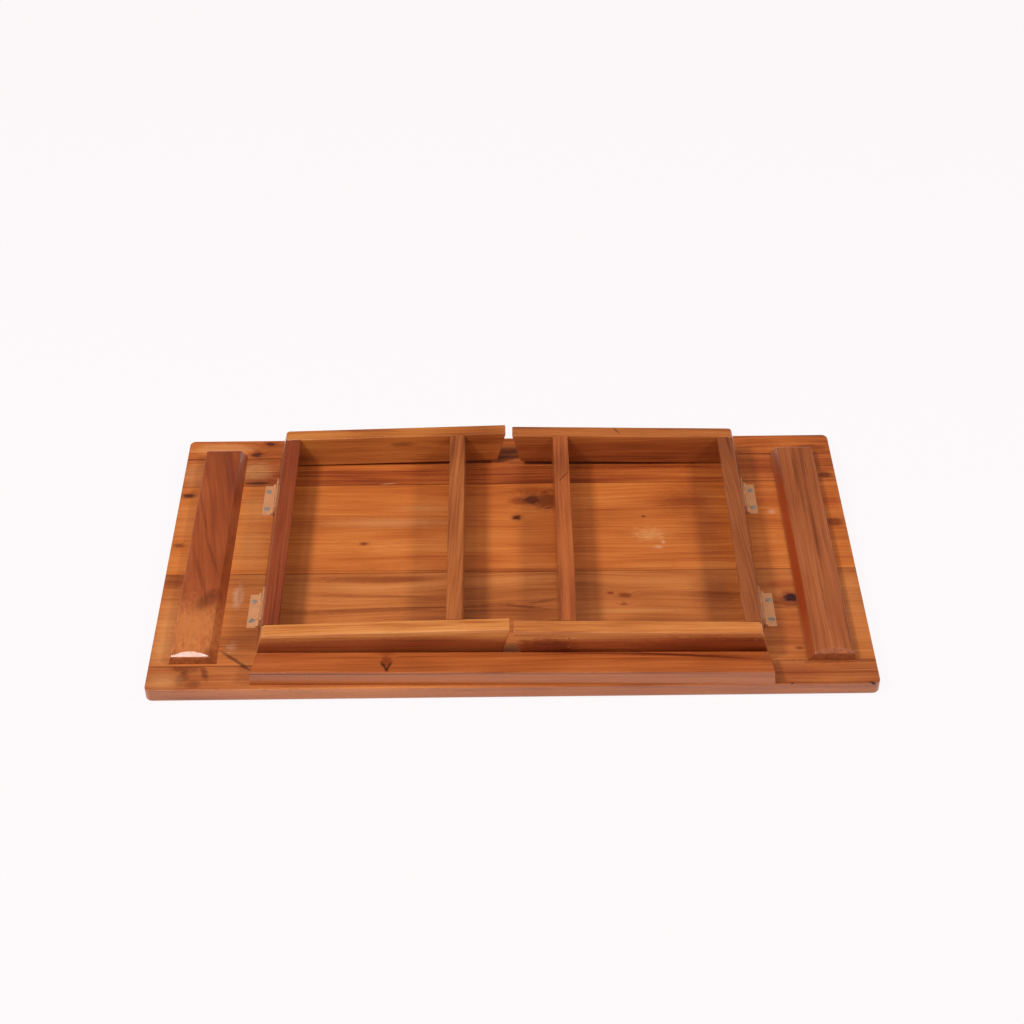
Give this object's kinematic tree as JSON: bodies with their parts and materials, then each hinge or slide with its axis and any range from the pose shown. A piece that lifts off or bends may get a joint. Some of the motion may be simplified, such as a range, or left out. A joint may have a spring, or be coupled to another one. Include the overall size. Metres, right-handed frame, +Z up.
{
  "type": "folding lap desk",
  "caption": "Small wooden lap desk lying on its working face, with two splayed leg frames folded flat on butt hinges between cross battens and a front rail.",
  "frame": {"origin": "middle of the working face, which lies on the surface with the leg frames folded on top", "axes": "+X along the length to the right, +Y from the railed front edge to the back, +Z up out of the underside"},
  "size_m": [0.559, 0.305, 0.0463],
  "materials": {
    "plank_wood": "gloss lacquer",
    "batten_wood": "gloss lacquer",
    "rail_wood": "gloss lacquer",
    "frame_wood": "gloss lacquer",
    "hinge_brass": "satin",
    "screw_steel": "dull",
    "nail_steel": "dull"
  },
  "bodies": {
    "tabletop": {"front_edge_strip": "plank_wood", "front_plank": "plank_wood", "front_rail": "rail_wood", "left_batten": "batten_wood", "left_board_screws": "screw_steel", "left_front_board_leaf": "hinge_brass", "left_front_hinge_pin": "hinge_brass", "left_rear_board_leaf": "hinge_brass", "left_rear_hinge_pin": "hinge_brass", "middle_plank": "plank_wood", "rear_edge_strip": "plank_wood", "rear_plank": "plank_wood", "right_batten": "batten_wood", "right_board_screws": "screw_steel", "right_front_board_leaf": "hinge_brass", "right_front_hinge_pin": "hinge_brass", "right_rear_board_leaf": "hinge_brass", "right_rear_hinge_pin": "hinge_brass"},
    "left_leg_frame": {"left_frame_screws": "screw_steel", "left_front_frame_leaf": "hinge_brass", "left_front_leg": "frame_wood", "left_hinge_bar": "frame_wood", "left_leg_nails": "nail_steel", "left_rear_frame_leaf": "hinge_brass", "left_rear_leg": "frame_wood", "left_stretcher": "frame_wood"},
    "right_leg_frame": {"right_frame_screws": "screw_steel", "right_front_frame_leaf": "hinge_brass", "right_front_leg": "frame_wood", "right_hinge_bar": "frame_wood", "right_leg_nails": "nail_steel", "right_rear_frame_leaf": "hinge_brass", "right_rear_leg": "frame_wood", "right_stretcher": "frame_wood"}
  },
  "joints": [
    {"name": "left_frame_fold", "type": "hinge", "parent": "tabletop", "child": "left_leg_frame", "pos_m": [-0.19952, 0, 0.0143], "axis": [0, -1, 0], "range_deg": [0, 104.65]},
    {"name": "right_frame_fold", "type": "hinge", "parent": "tabletop", "child": "right_leg_frame", "pos_m": [0.19952, 0, 0.0143], "axis": [0, 1, 0], "range_deg": [0, 104.65]}
  ]
}
